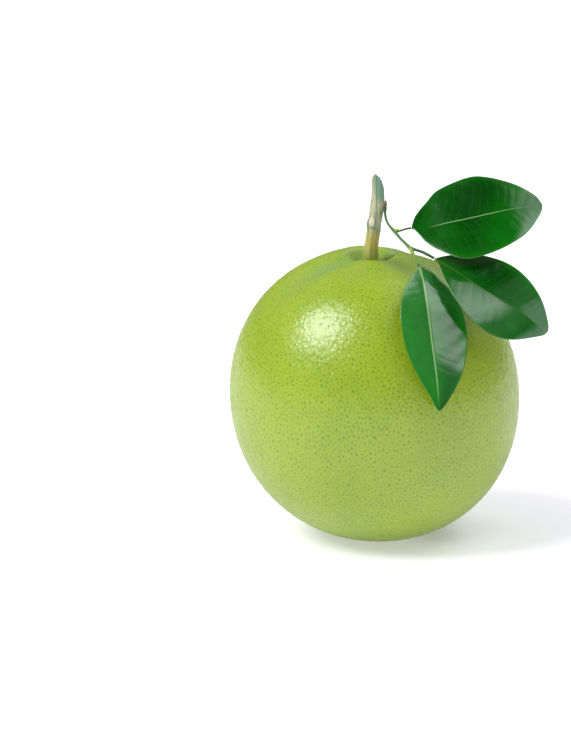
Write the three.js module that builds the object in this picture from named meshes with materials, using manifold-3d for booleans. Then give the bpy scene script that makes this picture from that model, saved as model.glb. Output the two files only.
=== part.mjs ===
// A picked pomelo: the round green fruit, the woody fruit stalk standing on its calyx in the hollow at the
// top, and a thin side shoot that carries three leaves to the right, one of them hanging down the front.
// Millimetres, +Z up. The origin is the middle of the small flat spot that the fruit rests on, and the
// front of the fruit faces -Y.
import * as THREE from "three";
import { mergeVertices } from "three/addons/utils/BufferGeometryUtils.js";
import Module from "manifold-3d";

const wasm = await Module();
wasm.setup();

// Fruit: an ellipsoid of revolution, slightly squared below, cut flat at the bottom and sunk at the top.
const FRUIT_RADIUS = 78;
const FRUIT_HALF_HEIGHT = 80.2;
const SQUARENESS_ABOVE = 2.04; // 2 would be an ellipsoid
const SQUARENESS_BELOW = 2.12;
const REST_RADIUS = 17; // the flat spot
const HOLLOW_DEPTH = 8.5;
const HOLLOW_RADIUS = 17.5; // where the hollow's wall meets the shoulder
const HOLLOW_FLOOR_RADIUS = 4.5;
const LEAN = 3.3; // how far the top stands to the left of the flat spot
const FRUIT_SEGMENTS = 72;
const FRUIT_RINGS = 40;

// Furrows run outwards from the hollow and part the shoulder into four broad lobes.
const FURROWS = [
  { azimuth: 208, depth: 3.6, reach: 84 },
  { azimuth: 312, depth: 1.4, reach: 50 },
  { azimuth: 33, depth: 4.4, reach: 60 },
  { azimuth: 80, depth: 0.8, reach: 60 },
];
const FURROW_HALF_WIDTH = 3.2;
const FURROW_SPREAD = 0.2; // how much wider it gets for each millimetre outwards
const FURROW_START = 8; // radius where a furrow begins, inside the hollow

// The shoulder is lower in front than at the back.
const FRONT_DIP = { azimuth: 258, depth: 3.2, reach: 62, narrowness: 1.5 };

// Slow swells of the fruit's girth: waves round it, height in mm, and where each one peaks.
const SWELLS = [
  { waves: 2, height: 0.7, peak: 330 },
  { waves: 3, height: 0.6, peak: 75 },
  { waves: 5, height: 0.25, peak: 20 },
];

// Calyx: the small five-lobed cup of sepals under the stalk, lying in the hollow.
const SEPALS = 5;
const SEPAL_TURN = 20; // azimuth of the first sepal
const CALYX_NOTCH_RADIUS = 5.2;
const SEPAL_LENGTH = 3.2;
const CALYX_THICKNESS = 1.9;
const SEPAL_EDGE_THICKNESS = 0.8;

const GAP = 0.35; // between pieces that touch

// Stalk: its centre line, with the radius at each place. It swells at two nodes, is cut off obliquely at
// the top, and ends level on the calyx, above the first place given here.
const STALK_SECTIONS = [
  { at: [-3.1, 0, 150], radius: 4.65 },
  { at: [-3.75, 0, 156.5], radius: 3.95 },
  { at: [-2.95, -0.1, 164], radius: 3.63 },
  { at: [-2.3, -0.2, 168.4], radius: 3.63 },
  { at: [-2.15, -0.3, 171], radius: 3.93 },
  { at: [-1.4, -0.4, 174], radius: 3.45 },
  { at: [-0.6, -0.5, 180.5], radius: 3.6 },
  { at: [-0.1, -0.7, 185], radius: 3.4 },
  { at: [0.05, -0.8, 192], radius: 3.3 },
  { at: [0.45, -0.9, 203], radius: 3.25 },
];
const STALK_SIDES = 20;
const STALK_STEPS = 22;
const CUT_POINT = [0.05, -0.8, 192]; // where the cut crosses the centre line
const CUT_FACES = [1, 1.73, 1]; // the way the cut face looks: up, and to the right at the back
const BLOCK_SIZE = 80; // of the blocks that cut the stalk's two ends off

// Side shoot: leaves the stalk's upper node, runs down past one leaf stalk and parts into two more.
const SHOOT = {
  path: [
    [3.3, -1.95, 181.0],
    [3.9, -2.4, 180.4],
    [3.8, -3.1, 177.9],
    [4.2, -4.4, 174.9],
    [5.6, -7.2, 172.1],
    [8.8, -11.0, 168.8],
    [12.0, -14.8, 165.6],
    [14.6, -17.4, 163.4],
    [17.1, -19.9, 161.2],
  ],
  radii: [0.95, 0.85, 0.7, 0.65, 0.68, 0.85, 0.75, 0.78, 1.05],
};
const LEAF_STALKS = [
  {
    path: [
      [8.8, -11.0, 168.8],
      [11.2, -12.7, 169.4],
      [14.3, -14.6, 170.7],
      [17.2, -16.3, 171.5],
    ],
    radii: [0.85, 0.6, 0.55, 0.6],
  },
  {
    path: [
      [17.1, -19.9, 161.2],
      [20.2, -21.9, 160.7],
      [23.8, -23.6, 159.7],
      [26.8, -24.9, 158.3],
      [29.4, -25.9, 157.0],
    ],
    radii: [1.05, 0.78, 0.78, 0.75, 0.7],
  },
  {
    path: [
      [17.1, -19.9, 161.2],
      [18.2, -23.5, 159.4],
      [19.5, -27.4, 157.1],
      [21.2, -31.3, 154.3],
    ],
    radii: [1.05, 0.85, 0.62, 0.6],
  },
];
const BUDS = [
  { at: [8.7, -11.2, 169.7], towards: [0.83, -0.5, 0.12], length: 3.0, radius: 0.75 },
  { at: [17.9, -21.0, 161.0], towards: [0.35, -0.6, -0.72], length: 2.6, radius: 0.7 },
  { at: [4.1, -2.45, 180.7], towards: [0.03, -0.06, 1], length: 4.2, radius: 0.75 },
];
const BUD_FULLNESS = 0.7; // below 1 the widest place is nearer the tip
const BUD_RINGS = 6;
const BUD_SIDES = 8;
const SHOOT_SIDES = 9;
const SHOOT_STEPS = 16;
const LEAF_STALK_STEPS = 8;

// Leaves. The blade lies along its midrib. facing is the way its upper side looks at the base and at the
// tip. left and right are as seen along the midrib with the upper side up. Each has its greatest half
// width, the share of the length where that is, and how full the outline is towards the base and the tip:
// 2 makes a round end and 1 or less a pointed one. fold lifts the two halves from the midrib, and curl
// turns the margins back down.
const BLADE_THICKNESS = 0.66;
const LEAVES = [
  {
    name: "leaf_upper",
    midrib: [
      [17.7, -16.6, 171.7],
      [26.7, -18.1, 172.2],
      [35.8, -18.9, 174.4],
      [46.9, -18.9, 176.7],
      [59.4, -18.3, 179.4],
      [69.6, -16.2, 181.3],
      [77.3, -13.7, 182.2],
      [86.8, -10.7, 182.6],
    ],
    facing: [
      [-0.18, -0.61, 0.77],
      [-0.1, -0.7, 0.71],
    ],
    left: { width: 28.4, peak: 0.47, base: 2.6, tip: 1.3 },
    right: { width: 26.7, peak: 0.39, base: 0.74, tip: 1.3 },
    fold: 0.035,
    curl: 0.05,
    waves: { count: 2.5, height: 0.25, phase: 40 },
  },
  {
    name: "leaf_right",
    midrib: [
      [29.9, -26.2, 156.7],
      [39.6, -34.3, 152.1],
      [52.7, -41.6, 144.5],
      [64.2, -44.2, 137.9],
      [76.8, -43.6, 129.7],
      [85.5, -40.2, 122.7],
      [88.6, -37.3, 120.1],
    ],
    facing: [
      [0.15, -0.57, 0.81],
      [0.06, -0.99, 0.14],
    ],
    left: { width: 18.5, peak: 0.48, base: 1.4, tip: 1.0 },
    right: { width: 20.0, peak: 0.57, base: 0.68, tip: 0.88 },
    fold: 0.18,
    curl: 0.02,
    waves: { count: 2, height: 0.25, phase: 200 },
  },
  {
    name: "leaf_front",
    midrib: [
      [21.6, -32.1, 153.8],
      [23.4, -41.6, 147.0],
      [25.1, -52.0, 137.4],
      [26.4, -59.2, 128.0],
      [27.5, -64.7, 119.5],
      [28.9, -69.9, 109.8],
      [30.1, -74.0, 100.5],
      [31.1, -78.1, 87.0],
    ],
    facing: [
      [0.47, -0.33, 0.82],
      [0.34, -0.94, 0.1],
    ],
    left: { width: 20.6, peak: 0.46, base: 1.9, tip: 1.1 },
    right: { width: 18.0, peak: 0.46, base: 0.79, tip: 0.85 },
    fold: 0.11,
    curl: 0.01,
    waves: { count: 2, height: 0.25, phase: 110 },
  },
];
const LEAF_ROWS = 26;
const LEAF_COLUMNS = [-1, -0.85, -0.65, -0.42, -0.2, -0.06, 0, 0.06, 0.2, 0.42, 0.65, 0.85, 1];
const LEAF_END_HALF_WIDTH = 0.45; // of the blunt ends at base and tip
const MIDRIB_DEPTH = 0.9; // how far the rib stands out of the underside at the base
const MIDRIB_TAPER = 0.8; // share of that depth that is gone at the tip
const MIDRIB_HALF_WIDTH = 1.1;
const LEFT_WAVE_SHIFT = 2; // radians, so that the two margins wave apart

const MERGE_DISTANCE = 1e-4; // below which two vertices count as one

const smoothStep = (low, high, x) => THREE.MathUtils.smoothstep(x, low, high);
const degrees = THREE.MathUtils.degToRad;
const vector = (numbers) => new THREE.Vector3(...numbers);

// Distance above or below the middle at which the plain body has the given radius.
const heightAt = (radius, squareness) =>
  FRUIT_HALF_HEIGHT * (1 - (radius / FRUIT_RADIUS) ** squareness) ** (1 / squareness);
const FRUIT_CENTRE_HEIGHT = heightAt(REST_RADIUS, SQUARENESS_BELOW);

// Share of the full hollow depth at a distance from the axis.
const hollowShare = (radius) => 1 - smoothStep(HOLLOW_FLOOR_RADIUS, HOLLOW_RADIUS, radius);
const topHeight = (radius) =>
  FRUIT_CENTRE_HEIGHT + heightAt(radius, SQUARENESS_ABOVE) - HOLLOW_DEPTH * hollowShare(radius);

// The closed half outline of the fruit, as [radius, height], from the flat spot up and into the hollow.
function fruitProfile() {
  const start = -Math.acos(REST_RADIUS / FRUIT_RADIUS);
  const end = Math.acos(HOLLOW_FLOOR_RADIUS / FRUIT_RADIUS);
  const crowd = 1.35; // draws the rings together towards the hollow, where the outline bends most
  const profile = [new THREE.Vector2(0, 0)];
  for (let i = 0; i <= FRUIT_RINGS; i++) {
    const angle = start + (end - start) * (1 - (1 - i / FRUIT_RINGS) ** crowd);
    const radius = FRUIT_RADIUS * Math.cos(angle);
    const below = FRUIT_CENTRE_HEIGHT - heightAt(radius, SQUARENESS_BELOW);
    const height = angle < 0 ? below : topHeight(radius);
    profile.push(new THREE.Vector2(radius, height));
  }
  profile.push(new THREE.Vector2(0, topHeight(0)));
  return profile;
}

// How deep the furrows are at a place on the upper half of the fruit.
function furrowDepth(x, y) {
  const radius = Math.hypot(x, y);
  return FURROWS.reduce((sum, { azimuth, depth, reach }) => {
    const turn = Math.atan2(y, x) - degrees(azimuth);
    if (Math.cos(turn) <= 0) return sum;
    const aside = radius * Math.sin(turn);
    const halfWidth = FURROW_HALF_WIDTH + FURROW_SPREAD * radius;
    const along = smoothStep(FURROW_START, HOLLOW_RADIUS, radius) * (1 - smoothStep(HOLLOW_RADIUS, reach, radius));
    return sum + depth * along * Math.exp(-((aside / halfWidth) ** 2));
  }, 0);
}

// How deep the dip in the front of the shoulder is at a place on the upper half of the fruit.
function frontDipDepth(x, y) {
  const radius = Math.hypot(x, y);
  const { azimuth, depth, reach, narrowness } = FRONT_DIP;
  const along = smoothStep(FURROW_START, HOLLOW_RADIUS, radius) * (1 - smoothStep(HOLLOW_RADIUS, reach, radius));
  const aimed = 0.5 + 0.5 * Math.cos(Math.atan2(y, x) - degrees(azimuth));
  return depth * along * aimed ** narrowness;
}

// Moves a point of the plain fruit to where it is on the real one: furrowed, dipped, swelling and leaning.
function shapeFruitPoint(point) {
  const centre = new THREE.Vector3(0, 0, FRUIT_CENTRE_HEIGHT);
  const arm = point.clone().sub(centre);
  if (point.z > FRUIT_CENTRE_HEIGHT) {
    arm.setLength(arm.length() - furrowDepth(point.x, point.y) - frontDipDepth(point.x, point.y));
  }
  const outwards = Math.hypot(arm.x, arm.y) / FRUIT_RADIUS;
  const azimuth = Math.atan2(arm.y, arm.x);
  const swell = SWELLS.reduce(
    (sum, { waves, height, peak }) => sum + height * Math.cos(waves * (azimuth - degrees(peak))),
    0,
  );
  const stretch = 1 + (swell * outwards ** 2) / FRUIT_RADIUS;
  arm.set(arm.x * stretch, arm.y * stretch, arm.z);
  point.copy(centre).add(arm);
  point.x -= (LEAN * point.z) / (2 * FRUIT_CENTRE_HEIGHT);
  return point;
}

// Applies a change to every vertex of a geometry.
function reshape(geometry, change) {
  const position = geometry.getAttribute("position");
  const point = new THREE.Vector3();
  for (let i = 0; i < position.count; i++) {
    change(point.fromBufferAttribute(position, i));
    position.setXYZ(i, point.x, point.y, point.z);
  }
  return geometry;
}

function fruitGeometry() {
  const turned = new THREE.LatheGeometry(fruitProfile(), FRUIT_SEGMENTS).rotateX(Math.PI / 2);
  return reshape(turned, shapeFruitPoint);
}

// The calyx is drawn as a unit disc of two faces, then bent into the hollow with its lobed edge.
function calyxGeometry() {
  const steps = 5;
  const segments = 60;
  const profile = [];
  for (let i = 0; i <= steps; i++) profile.push(new THREE.Vector2(i / steps, 0));
  for (let i = steps; i >= 0; i--) profile.push(new THREE.Vector2(i / steps, 1));
  const disc = new THREE.LatheGeometry(profile, segments).rotateX(Math.PI / 2);
  const lean = (LEAN * topHeight(0)) / (2 * FRUIT_CENTRE_HEIGHT);
  return reshape(disc, (point) => {
    const share = Math.hypot(point.x, point.y);
    const azimuth = Math.atan2(point.y, point.x);
    const lobe = 0.5 + 0.5 * Math.cos(SEPALS * (azimuth - degrees(SEPAL_TURN)));
    const radius = share * (CALYX_NOTCH_RADIUS + SEPAL_LENGTH * lobe);
    const thickness = THREE.MathUtils.lerp(CALYX_THICKNESS, SEPAL_EDGE_THICKNESS, share ** 2);
    const height = topHeight(radius) + GAP + point.z * thickness;
    return point.set(radius * Math.cos(azimuth) - lean, radius * Math.sin(azimuth), height);
  });
}

// A closed tube along a smooth path, with a radius that changes along it.
function taperedTube(points, radii, sides, steps) {
  const path = new THREE.CatmullRomCurve3(points.map(vector), false, "centripetal");
  const frames = path.computeFrenetFrames(steps, false);
  const vertices = [];
  const faces = [];
  for (let i = 0; i <= steps; i++) {
    const share = i / steps;
    const centre = path.getPointAt(share);
    const place = path.getUtoTmapping(share) * (radii.length - 1);
    const below = Math.min(Math.floor(place), radii.length - 2);
    const radius = THREE.MathUtils.lerp(radii[below], radii[below + 1], place - below);
    for (let j = 0; j < sides; j++) {
      const turn = (2 * Math.PI * j) / sides;
      const out = frames.normals[i].clone().multiplyScalar(Math.cos(turn));
      out.addScaledVector(frames.binormals[i], Math.sin(turn));
      vertices.push(...centre.clone().addScaledVector(out, radius).toArray());
    }
  }
  for (let i = 0; i < steps; i++) {
    for (let j = 0; j < sides; j++) {
      const a = i * sides + j;
      const b = i * sides + ((j + 1) % sides);
      faces.push(a, b, a + sides, b, b + sides, a + sides);
    }
  }
  const first = vertices.length / 3;
  vertices.push(...path.getPointAt(0).toArray(), ...path.getPointAt(1).toArray());
  for (let j = 0; j < sides; j++) {
    const next = (j + 1) % sides;
    faces.push(first, next, j);
    faces.push(first + 1, steps * sides + j, steps * sides + next);
  }
  return closedGeometry(vertices, faces);
}

function closedGeometry(vertices, faces) {
  const geometry = new THREE.BufferGeometry();
  geometry.setAttribute("position", new THREE.Float32BufferAttribute(vertices, 3));
  return geometry.setIndex(faces);
}

// Turns a closed geometry into a solid that can be cut and joined, and a solid back into a geometry.
function solidOf(geometry) {
  const bare = geometry.clone();
  bare.deleteAttribute("normal");
  bare.deleteAttribute("uv");
  const merged = mergeVertices(bare, MERGE_DISTANCE);
  const mesh = new wasm.Mesh({
    numProp: 3,
    vertProperties: new Float32Array(merged.attributes.position.array),
    triVerts: new Uint32Array(merged.index.array),
  });
  return new wasm.Manifold(mesh);
}

function geometryOf(solid) {
  const mesh = solid.getMesh();
  const vertices = [];
  for (let i = 0; i < mesh.numVert; i++) {
    vertices.push(...mesh.vertProperties.subarray(i * mesh.numProp, i * mesh.numProp + 3));
  }
  return closedGeometry(vertices, Array.from(mesh.triVerts));
}

// A large block on the side of a plane that the plane faces, to cut away everything there.
function blockBeyond(point, facing) {
  const turn = new THREE.Quaternion().setFromUnitVectors(
    new THREE.Vector3(0, 0, 1),
    vector(facing).normalize(),
  );
  const block = new THREE.BoxGeometry(BLOCK_SIZE, BLOCK_SIZE, BLOCK_SIZE).translate(0, 0, BLOCK_SIZE / 2);
  return block.applyQuaternion(turn).translate(...point);
}

function stalkGeometry() {
  const places = STALK_SECTIONS.map(({ at }) => at);
  const radii = STALK_SECTIONS.map(({ radius }) => radius);
  const whole = solidOf(taperedTube(places, radii, STALK_SIDES, STALK_STEPS));
  const foot = [0, 0, topHeight(0) + GAP + CALYX_THICKNESS + GAP];
  const above = solidOf(blockBeyond(CUT_POINT, CUT_FACES));
  const below = solidOf(blockBeyond(foot, [0, 0, -1]));
  return geometryOf(whole.subtract(above).subtract(below));
}

// A bud: a small pointed drop.
function budGeometry({ at, towards, length, radius }) {
  const profile = [];
  for (let i = 0; i <= BUD_RINGS; i++) {
    const share = i / BUD_RINGS;
    profile.push(new THREE.Vector2(radius * Math.sin(Math.PI * share ** BUD_FULLNESS), share * length));
  }
  profile[0].x = 0;
  profile[BUD_RINGS].x = 0;
  const turn = new THREE.Quaternion().setFromUnitVectors(
    new THREE.Vector3(0, 1, 0),
    vector(towards).normalize(),
  );
  return new THREE.LatheGeometry(profile, BUD_SIDES).applyQuaternion(turn).translate(...at);
}

function shootGeometry() {
  const tubes = [
    taperedTube(SHOOT.path, SHOOT.radii, SHOOT_SIDES, SHOOT_STEPS),
    ...LEAF_STALKS.map(({ path, radii }) => taperedTube(path, radii, SHOOT_SIDES, LEAF_STALK_STEPS)),
  ];
  const pieces = [...tubes, ...BUDS.map(budGeometry)].map(solidOf);
  return geometryOf(pieces.reduce((whole, piece) => whole.add(piece)));
}

// Half width of one side of a leaf: rises from the base, peaks, and runs out to the tip.
function halfWidthAt(share, { width, peak, base, tip }) {
  const towardsBase = share < peak;
  const away = towardsBase ? 1 - share / peak : (share - peak) / (1 - peak);
  const part = (1 - away ** 2) ** (1 / (towardsBase ? base : tip));
  return Math.max(width * part, LEAF_END_HALF_WIDTH);
}

// One leaf blade: a sheet with an upper and a lower face, whose lower face bears the midrib.
function bladeGeometry(leaf) {
  const path = new THREE.CatmullRomCurve3(leaf.midrib.map(vector), false, "centripetal");
  const columns = LEAF_COLUMNS.length;
  const perFace = (LEAF_ROWS + 1) * columns;
  const upper = [];
  const lower = [];
  for (let i = 0; i <= LEAF_ROWS; i++) {
    const share = i / LEAF_ROWS;
    const centre = path.getPointAt(share);
    const along = path.getTangentAt(share);
    const facing = vector(leaf.facing[0]).lerp(vector(leaf.facing[1]), share);
    const up = facing.addScaledVector(along, -facing.dot(along)).normalize();
    const aside = new THREE.Vector3().crossVectors(along, up);
    for (const column of LEAF_COLUMNS) {
      const side = column < 0 ? leaf.left : leaf.right;
      const width = halfWidthAt(share, side);
      const out = Math.abs(column);
      const lift = leaf.fold * out - leaf.curl * out ** 3;
      const { count, height, phase } = leaf.waves;
      const shift = degrees(phase) + (column < 0 ? LEFT_WAVE_SHIFT : 0);
      const wave = Math.sin(2 * Math.PI * count * share + shift);
      const point = centre.clone();
      point.addScaledVector(aside, column * width);
      point.addScaledVector(up, lift * width + height * wave * out ** 2 * (width / side.width));
      const nearRib = Math.exp(-((column * width / MIDRIB_HALF_WIDTH) ** 2));
      const rib = nearRib * MIDRIB_DEPTH * (1 - MIDRIB_TAPER * share);
      upper.push(...point.clone().addScaledVector(up, BLADE_THICKNESS / 2).toArray());
      lower.push(...point.clone().addScaledVector(up, -BLADE_THICKNESS / 2 - rib).toArray());
    }
  }
  const faces = [];
  const quad = (a, b, c, d) => faces.push(a, b, c, a, c, d);
  for (let i = 0; i < LEAF_ROWS; i++) {
    for (let j = 0; j < columns - 1; j++) {
      const a = i * columns + j;
      const [b, c, d] = [a + 1, a + columns + 1, a + columns];
      faces.push(a, b, c, a, c, d);
      faces.push(perFace + a, perFace + c, perFace + b, perFace + a, perFace + d, perFace + c);
    }
    const start = i * columns;
    const end = start + columns - 1;
    quad(start, start + columns, perFace + start + columns, perFace + start);
    quad(end + columns, end, perFace + end, perFace + end + columns);
  }
  const last = LEAF_ROWS * columns;
  for (let j = 0; j < columns - 1; j++) {
    quad(j + 1, j, perFace + j, perFace + j + 1);
    quad(last + j, last + j + 1, perFace + last + j + 1, perFace + last + j);
  }
  return closedGeometry([...upper, ...lower], faces);
}

const MATERIALS = {
  rind: new THREE.MeshStandardMaterial({ color: 0xa5c23f, roughness: 0.42, metalness: 0 }),
  calyx: new THREE.MeshStandardMaterial({ color: 0x8a8f4a, roughness: 0.75, metalness: 0 }),
  stalk: new THREE.MeshStandardMaterial({ color: 0xa9ad86, roughness: 0.8, metalness: 0 }),
  shoot: new THREE.MeshStandardMaterial({ color: 0x5f8f45, roughness: 0.6, metalness: 0 }),
  leaf: new THREE.MeshStandardMaterial({ color: 0x1f6b25, roughness: 0.35, metalness: 0 }),
};

function piece(name, geometry, material) {
  geometry.computeVertexNormals();
  const mesh = new THREE.Mesh(geometry, MATERIALS[material]);
  mesh.name = name;
  return mesh;
}

const pomelo = new THREE.Group();
pomelo.name = "pomelo";
pomelo.add(
  piece("fruit", fruitGeometry(), "rind"),
  piece("calyx", calyxGeometry(), "calyx"),
  piece("stalk", stalkGeometry(), "stalk"),
  piece("shoot", shootGeometry(), "shoot"),
  ...LEAVES.map((leaf) => piece(leaf.name, bladeGeometry(leaf), "leaf")),
);

export default pomelo;
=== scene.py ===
"""The looks of a picked pomelo: the fruit with its furrowed shoulder and oil glands, the calyx, the cut fruit
stalk, and the green side shoot with three glossy leaves.

Lengths are in millimetres, unless a comment says metres. The meshes are made in metres. The frame is that of
the CAD part: the origin is the middle of the flat spot that the fruit rests on, +Z is up and the front looks
to -Y.
"""

import math

import bmesh
import bpy
import numpy as np
from mathutils import Matrix, Vector, kdtree


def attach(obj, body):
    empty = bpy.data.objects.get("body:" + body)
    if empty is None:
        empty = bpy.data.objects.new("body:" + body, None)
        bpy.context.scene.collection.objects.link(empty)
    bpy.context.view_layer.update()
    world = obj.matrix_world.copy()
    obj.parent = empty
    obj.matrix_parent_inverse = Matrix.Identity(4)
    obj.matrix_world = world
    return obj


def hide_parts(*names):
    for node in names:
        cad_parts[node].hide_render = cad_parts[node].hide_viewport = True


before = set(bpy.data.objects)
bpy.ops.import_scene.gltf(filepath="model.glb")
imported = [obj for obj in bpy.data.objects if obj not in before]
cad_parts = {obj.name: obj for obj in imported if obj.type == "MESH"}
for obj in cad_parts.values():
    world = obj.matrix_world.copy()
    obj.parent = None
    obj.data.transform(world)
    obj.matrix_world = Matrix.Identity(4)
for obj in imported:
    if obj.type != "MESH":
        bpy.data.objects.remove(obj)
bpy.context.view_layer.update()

MM = 0.001
SEED = 7
rng = np.random.default_rng(SEED)

# The fruit's form. The hollow and the front furrow are a little deeper here than in the part's source.
FRUIT_RADIUS = 78
FRUIT_HALF_HEIGHT = 80.2
SQUARENESS_ABOVE = 2.04
SQUARENESS_BELOW = 2.12
REST_RADIUS = 17
HOLLOW_DEPTH = 9.5
HOLLOW_RADIUS = 17.5
HOLLOW_FLOOR_RADIUS = 4.5
LEAN = 3.3  # how far the top stands to the left of the foot
FRONT_FURROW = dict(azimuth=312, depth=1.9, reach=50)
FURROWS = (
    dict(azimuth=208, depth=3.6, reach=84),
    FRONT_FURROW,
    dict(azimuth=33, depth=4.4, reach=60),
    dict(azimuth=80, depth=0.8, reach=60),
)
FURROW_HALF_WIDTH = 3.2
FURROW_SPREAD = 0.2
FURROW_START = 8
# the furrows' colour is painted sheen and shade
FURROW_FULL_DEPTH = 4.6  # at which a furrow has its full colour
FRONT_DIP = dict(azimuth=258, depth=3.2, reach=62, narrowness=1.5)
SWELLS = (
    dict(waves=2, height=0.7, peak=330),
    dict(waves=3, height=0.6, peak=75),
    dict(waves=5, height=0.25, peak=20),
)

# Oil glands in the rind
GLANDS = 14000
GLAND_JITTER = 0.5  # of the spacing
GLAND_EASINGS = 3  # times that the glands push each other apart
GLAND_NEIGHBOURS = 7  # that are looked up, the gland itself included
GLAND_ROOM = 1.15  # gap below which two glands push, in spacings
GLAND_PUSH = 0.25  # share of what is missing from the gap that a gland moves
GLAND_DEPTH = 0.15
GLAND_STRENGTH = (0.5, 1)  # least and most of a gland's depth and colour
RIDGE_HEIGHT = 0.2
RIDGE_RANGE = (-0.7, 1)  # least and most of that height

# Looks of the rind. A tint has the attribute that places it, the limits of that attribute, and its share.
NOISE_DETAIL = 3
NOISE_ROUGHNESS = 0.5  # where a kind of noise names none
RIND_ROUGHNESS = 0.34
RIND_SPECULAR = 0.8
HOLLOW_DULLNESS = 0.4  # roughness added in the hollow
HOLLOW_LIMITS = (0.02, 0.5)
RIND_CLOUDS = dict(per_metre=28, limits=(0.35, 0.65))
RIND_GREENS = ((130, 162, 10), (142, 168, 16))
RIND_FLECKS = dict(per_metre=420, roughness=0.6, limits=(0.4, 0.7))
RIND_FLECK_TINT = dict(share=0.35, colour=(156, 178, 36))
RIND_TINTS = (
    dict(place="gland", limits=(0.22, 0.02), share=0.3, colour=(172, 192, 44)),
    # painted sheen and shade: a greyer, bluer green in the furrows
    dict(place="furrow", limits=(0.1, 0.9), share=0.75, colour=(124, 160, 84)),
    # painted shade: a darker green along the front furrow, where the leaves and stalks shade the shoulder
    dict(place="deep_green", share=0.6, colour=(84, 116, 14)),
    # painted shade: a darker green down in the hollow round the stalk
    dict(place="hollow", limits=HOLLOW_LIMITS, share=0.7, colour=(112, 146, 36)),
    dict(place="gland", limits=(0.38, 0.8), share=0.65, colour=(86, 122, 8)),
)

# Camera: where the photo was taken from, and what it looks at
PHOTO_SIZE = (571, 741)
FRUIT_MIDDLE = Vector((-1.6, 0, 78.4)) * MM
FRUIT_MIDDLE_PIXEL = (375.0, 393.0)
CAMERA_DISTANCE = 1.3  # in metres
CAMERA_ELEVATION = 13
PIXELS_PER_TANGENT = 2391  # focal length in photo pixels
SENSOR_WIDTH = 36
CAMERA_CLIP = (0.01, 100)  # in metres

# Studio
KEY_DIRECTION = (-0.585, -0.281, 0.763)
KEY_STRENGTH = 2.95
KEY_ANGLE = 32
HORIZON = (0.46, 0.74)  # direction Z where the bright horizon starts and ends fading upwards
WINDOW_START = (0.1, 0.54)  # direction X where the dark ceiling gives way to the bright window
WINDOW_END = (0.6, 0.74)  # and where the window gives way to the dim wall at the right
WINDOW_NEAR = (-0.62, -0.42)  # direction Y where the window starts, seen from the camera's side
WALL_RISE = (0.0, 0.4)  # direction Z over which the wall at the right gets lighter
BACKDROP = (0.2, 0.5)  # direction Y where the ceiling starts and ends turning into the bright backdrop
WORLD_CEILING = (0.015, 0.015, 0.015, 1)
WORLD_BACKDROP = (0.55, 0.55, 0.57, 1)
WORLD_WINDOW = (3.1, 3.1, 3.2, 1)
WORLD_RIGHT_LOW = (0.06, 0.06, 0.07, 1)
WORLD_RIGHT_HIGH = (0.36, 0.36, 0.38, 1)
WORLD_HORIZON = (0.3, 0.3, 0.32, 1)
FLOOR_REACH = 20000
FLOOR_ROUGHNESS = 0.9
FLOOR_SPECULAR = 0.1
FLOOR_GLOW_SHADED = 0.27
FLOOR_GLOW = 0.37
FLOOR_GLOW_FAR = 0.48
SHADOW_MIDDLE = (0.04, 0.008, 0)  # in metres, on the side of the fruit away from the key light
SHADED_EDGE = (0.015, 0.042)  # metres from there over which the glow rises beside the fruit
FAR_EDGE = (0.03, 0.11)  # and where it rises again, so that the cast shadow fades
FLOOR_GLOW_TINT = (1, 0.99, 1.02, 1)
FLOOR_COLOUR = (0.735, 0.72, 0.78, 1)  # takes back the green that the fruit casts


def smooth_step(low, high, x):
    share = np.clip((x - low) / (high - low), 0, 1)
    return share * share * (3 - 2 * share)


def height_at(radius, squareness):
    share = np.clip(radius / FRUIT_RADIUS, 0, 1)
    return FRUIT_HALF_HEIGHT * (1 - share**squareness) ** (1 / squareness)


FRUIT_CENTRE_HEIGHT = height_at(REST_RADIUS, SQUARENESS_BELOW)


def hollow_share(radius):
    return 1 - smooth_step(HOLLOW_FLOOR_RADIUS, HOLLOW_RADIUS, radius)


def top_height(radius):
    return FRUIT_CENTRE_HEIGHT + height_at(radius, SQUARENESS_ABOVE) - HOLLOW_DEPTH * hollow_share(radius)


def reach_share(radius, reach):
    """How much of its depth a furrow has at distances from the stalk."""
    return smooth_step(FURROW_START, HOLLOW_RADIUS, radius) * (1 - smooth_step(HOLLOW_RADIUS, reach, radius))


def furrow_share(x, y, furrow):
    """How much of a furrow's depth is reached at places on the upper half of the fruit."""
    radius = np.hypot(x, y)
    turn = np.arctan2(y, x) - math.radians(furrow["azimuth"])
    aside = radius * np.sin(turn)
    half_width = FURROW_HALF_WIDTH + FURROW_SPREAD * radius
    along = reach_share(radius, furrow["reach"])
    return np.where(np.cos(turn) > 0, along * np.exp(-((aside / half_width) ** 2)), 0)


def furrow_depth(x, y):
    """Depth of the furrows in mm at places on the upper half of the fruit."""
    return sum(furrow["depth"] * furrow_share(x, y, furrow) for furrow in FURROWS)


def front_dip_depth(x, y):
    """Depth in mm of the dip in the front of the shoulder."""
    along = reach_share(np.hypot(x, y), FRONT_DIP["reach"])
    aimed = 0.5 + 0.5 * np.cos(np.arctan2(y, x) - math.radians(FRONT_DIP["azimuth"]))
    return FRONT_DIP["depth"] * along * aimed ** FRONT_DIP["narrowness"]


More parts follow.
